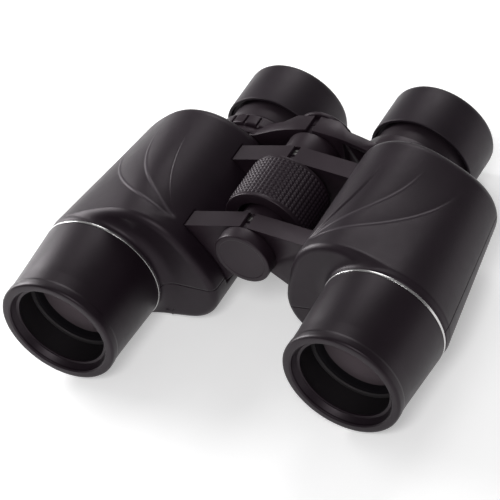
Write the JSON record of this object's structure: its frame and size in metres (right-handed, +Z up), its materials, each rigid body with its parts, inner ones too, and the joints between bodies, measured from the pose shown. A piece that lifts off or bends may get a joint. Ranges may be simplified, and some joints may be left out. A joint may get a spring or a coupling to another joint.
{
  "type": "binoculars",
  "caption": "Centre-focus porro-prism binoculars in matt black rubber armour, with folding halves, a knurled focus wheel, a diopter ring and silver trim rings round the barrels.",
  "frame": {"origin": "on the hinge axis, at the front face of the front hinge lugs, inside the mouth of the tripod socket", "axes": "+Y along the hinge axis towards the eyepieces, +Z up, +X towards the user's left"},
  "size_m": [0.185, 0.1485, 0.0571],
  "materials": {
    "rubber_armour": "matt moulded rubber with a fine spark-eroded grain",
    "eyecup_rubber": "matt soft rubber",
    "grip_rubber": "matt knurled rubber",
    "silver_trim": "bright turned",
    "black_anodised": "black anodised, satin",
    "painted_casting": "black stoving paint, satin",
    "shelf_alloy": "machined",
    "black_plastic": "matt moulded plastic",
    "coated_glass": "polished, magnesium fluoride coated",
    "optical_glass": "polished",
    "steel": "ground",
    "spring_steel": "rolled strip",
    "black_screw": "blackened steel",
    "nylon": "plain",
    "brass": "turned"
  },
  "bodies": {
    "left_half": {"hinge_axle": "steel", "hinge_washers": "nylon", "axle_screws": "steel", "rear_sleeve": "painted_casting", "wheel_washers": "nylon", "left_hood": "rubber_armour", "left_trim_ring": "silver_trim", "left_barrel": "black_anodised", "left_retaining_ring": "black_anodised", "left_objective_cell": "black_anodised", "left_crown_lens": "coated_glass", "left_flint_lens": "optical_glass", "left_housing": "painted_casting", "left_top_armour": "rubber_armour", "left_bottom_armour": "rubber_armour", "left_prism_shelf": "shelf_alloy", "left_prisms": "optical_glass", "left_prism_clips": "spring_steel", "left_shelf_screws": "steel", "left_rear_cover": "black_plastic", "left_guide_tube": "black_anodised", "left_cover_screws": "black_screw"},
    "right_half": {"right_hood": "rubber_armour", "right_trim_ring": "silver_trim", "right_barrel": "black_anodised", "right_retaining_ring": "black_anodised", "right_objective_cell": "black_anodised", "right_crown_lens": "coated_glass", "right_flint_lens": "optical_glass", "right_housing": "painted_casting", "right_top_armour": "rubber_armour", "right_bottom_armour": "rubber_armour", "right_prism_shelf": "shelf_alloy", "right_prisms": "optical_glass", "right_prism_clips": "spring_steel", "right_shelf_screws": "steel", "right_rear_cover": "black_plastic", "right_guide_tube": "black_anodised", "right_cover_screws": "black_screw"},
    "focus_wheel": {"wheel_hub": "black_plastic", "wheel_bush": "brass", "wheel_grip": "grip_rubber"},
    "focus_carriage": {"focus_rod": "steel", "drive_pin": "steel", "bridge_clip": "spring_steel", "bridge_cap": "painted_casting", "bridge_screw": "steel"},
    "left_bridge": {"left_bridge_arm": "painted_casting", "left_ocular_tube": "black_plastic", "left_field_lens": "optical_glass", "left_eye_lens": "coated_glass", "left_eyecup": "eyecup_rubber"},
    "right_bridge": {"right_bridge_arm": "painted_casting"},
    "right_ocular": {"right_ocular_tube": "black_plastic", "right_field_lens": "optical_glass", "right_eye_lens": "coated_glass", "right_eyecup": "eyecup_rubber"},
    "diopter_ring": {"diopter_ring": "black_plastic"},
    "socket_cap": {"socket_cap": "black_plastic"}
  },
  "joints": [
    {"name": "interpupillary_hinge", "type": "hinge", "parent": "left_half", "child": "right_half", "pos_m": [0, 0, 0], "axis": [0, -1, 0], "range_deg": [-11, 37]},
    {"name": "focus_wheel_turn", "type": "hinge", "parent": "left_half", "child": "focus_wheel", "pos_m": [0, 0, 0], "axis": [0, 1, 0], "range_deg": [0, 320]},
    {"name": "focus_rod_slide", "type": "slide", "parent": "left_half", "child": "focus_carriage", "axis": [0, 1, 0], "range_m": [0, 0.008]},
    {"name": "left_bridge_slide", "type": "slide", "parent": "left_half", "child": "left_bridge", "axis": [0, 1, 0], "range_m": [0, 0.008]},
    {"name": "right_bridge_slide", "type": "slide", "parent": "right_half", "child": "right_bridge", "axis": [0, 1, 0], "range_m": [0, 0.008]},
    {"name": "diopter_turn", "type": "hinge", "parent": "right_bridge", "child": "diopter_ring", "pos_m": [-0.03451, 0.0646, -0.01563], "axis": [0, 1, 0], "range_deg": [-35, 35]},
    {"name": "right_ocular_slide", "type": "slide", "parent": "right_bridge", "child": "right_ocular", "axis": [0, 1, 0], "range_m": [-0.001, 0.001]},
    {"name": "socket_cap_slide", "type": "slide", "parent": "left_half", "child": "socket_cap", "axis": [0, -1, 0], "range_m": [0, 0.03]}
  ],
  "couplings": [
    {"joint": "focus_wheel_turn", "follows": "left_bridge_slide", "rad_per_m": 698.13},
    {"joint": "focus_rod_slide", "follows": "left_bridge_slide", "ratio": 1},
    {"joint": "right_bridge_slide", "follows": "left_bridge_slide", "ratio": 1},
    {"joint": "diopter_turn", "follows": "right_ocular_slide", "rad_per_m": 610.86}
  ]
}
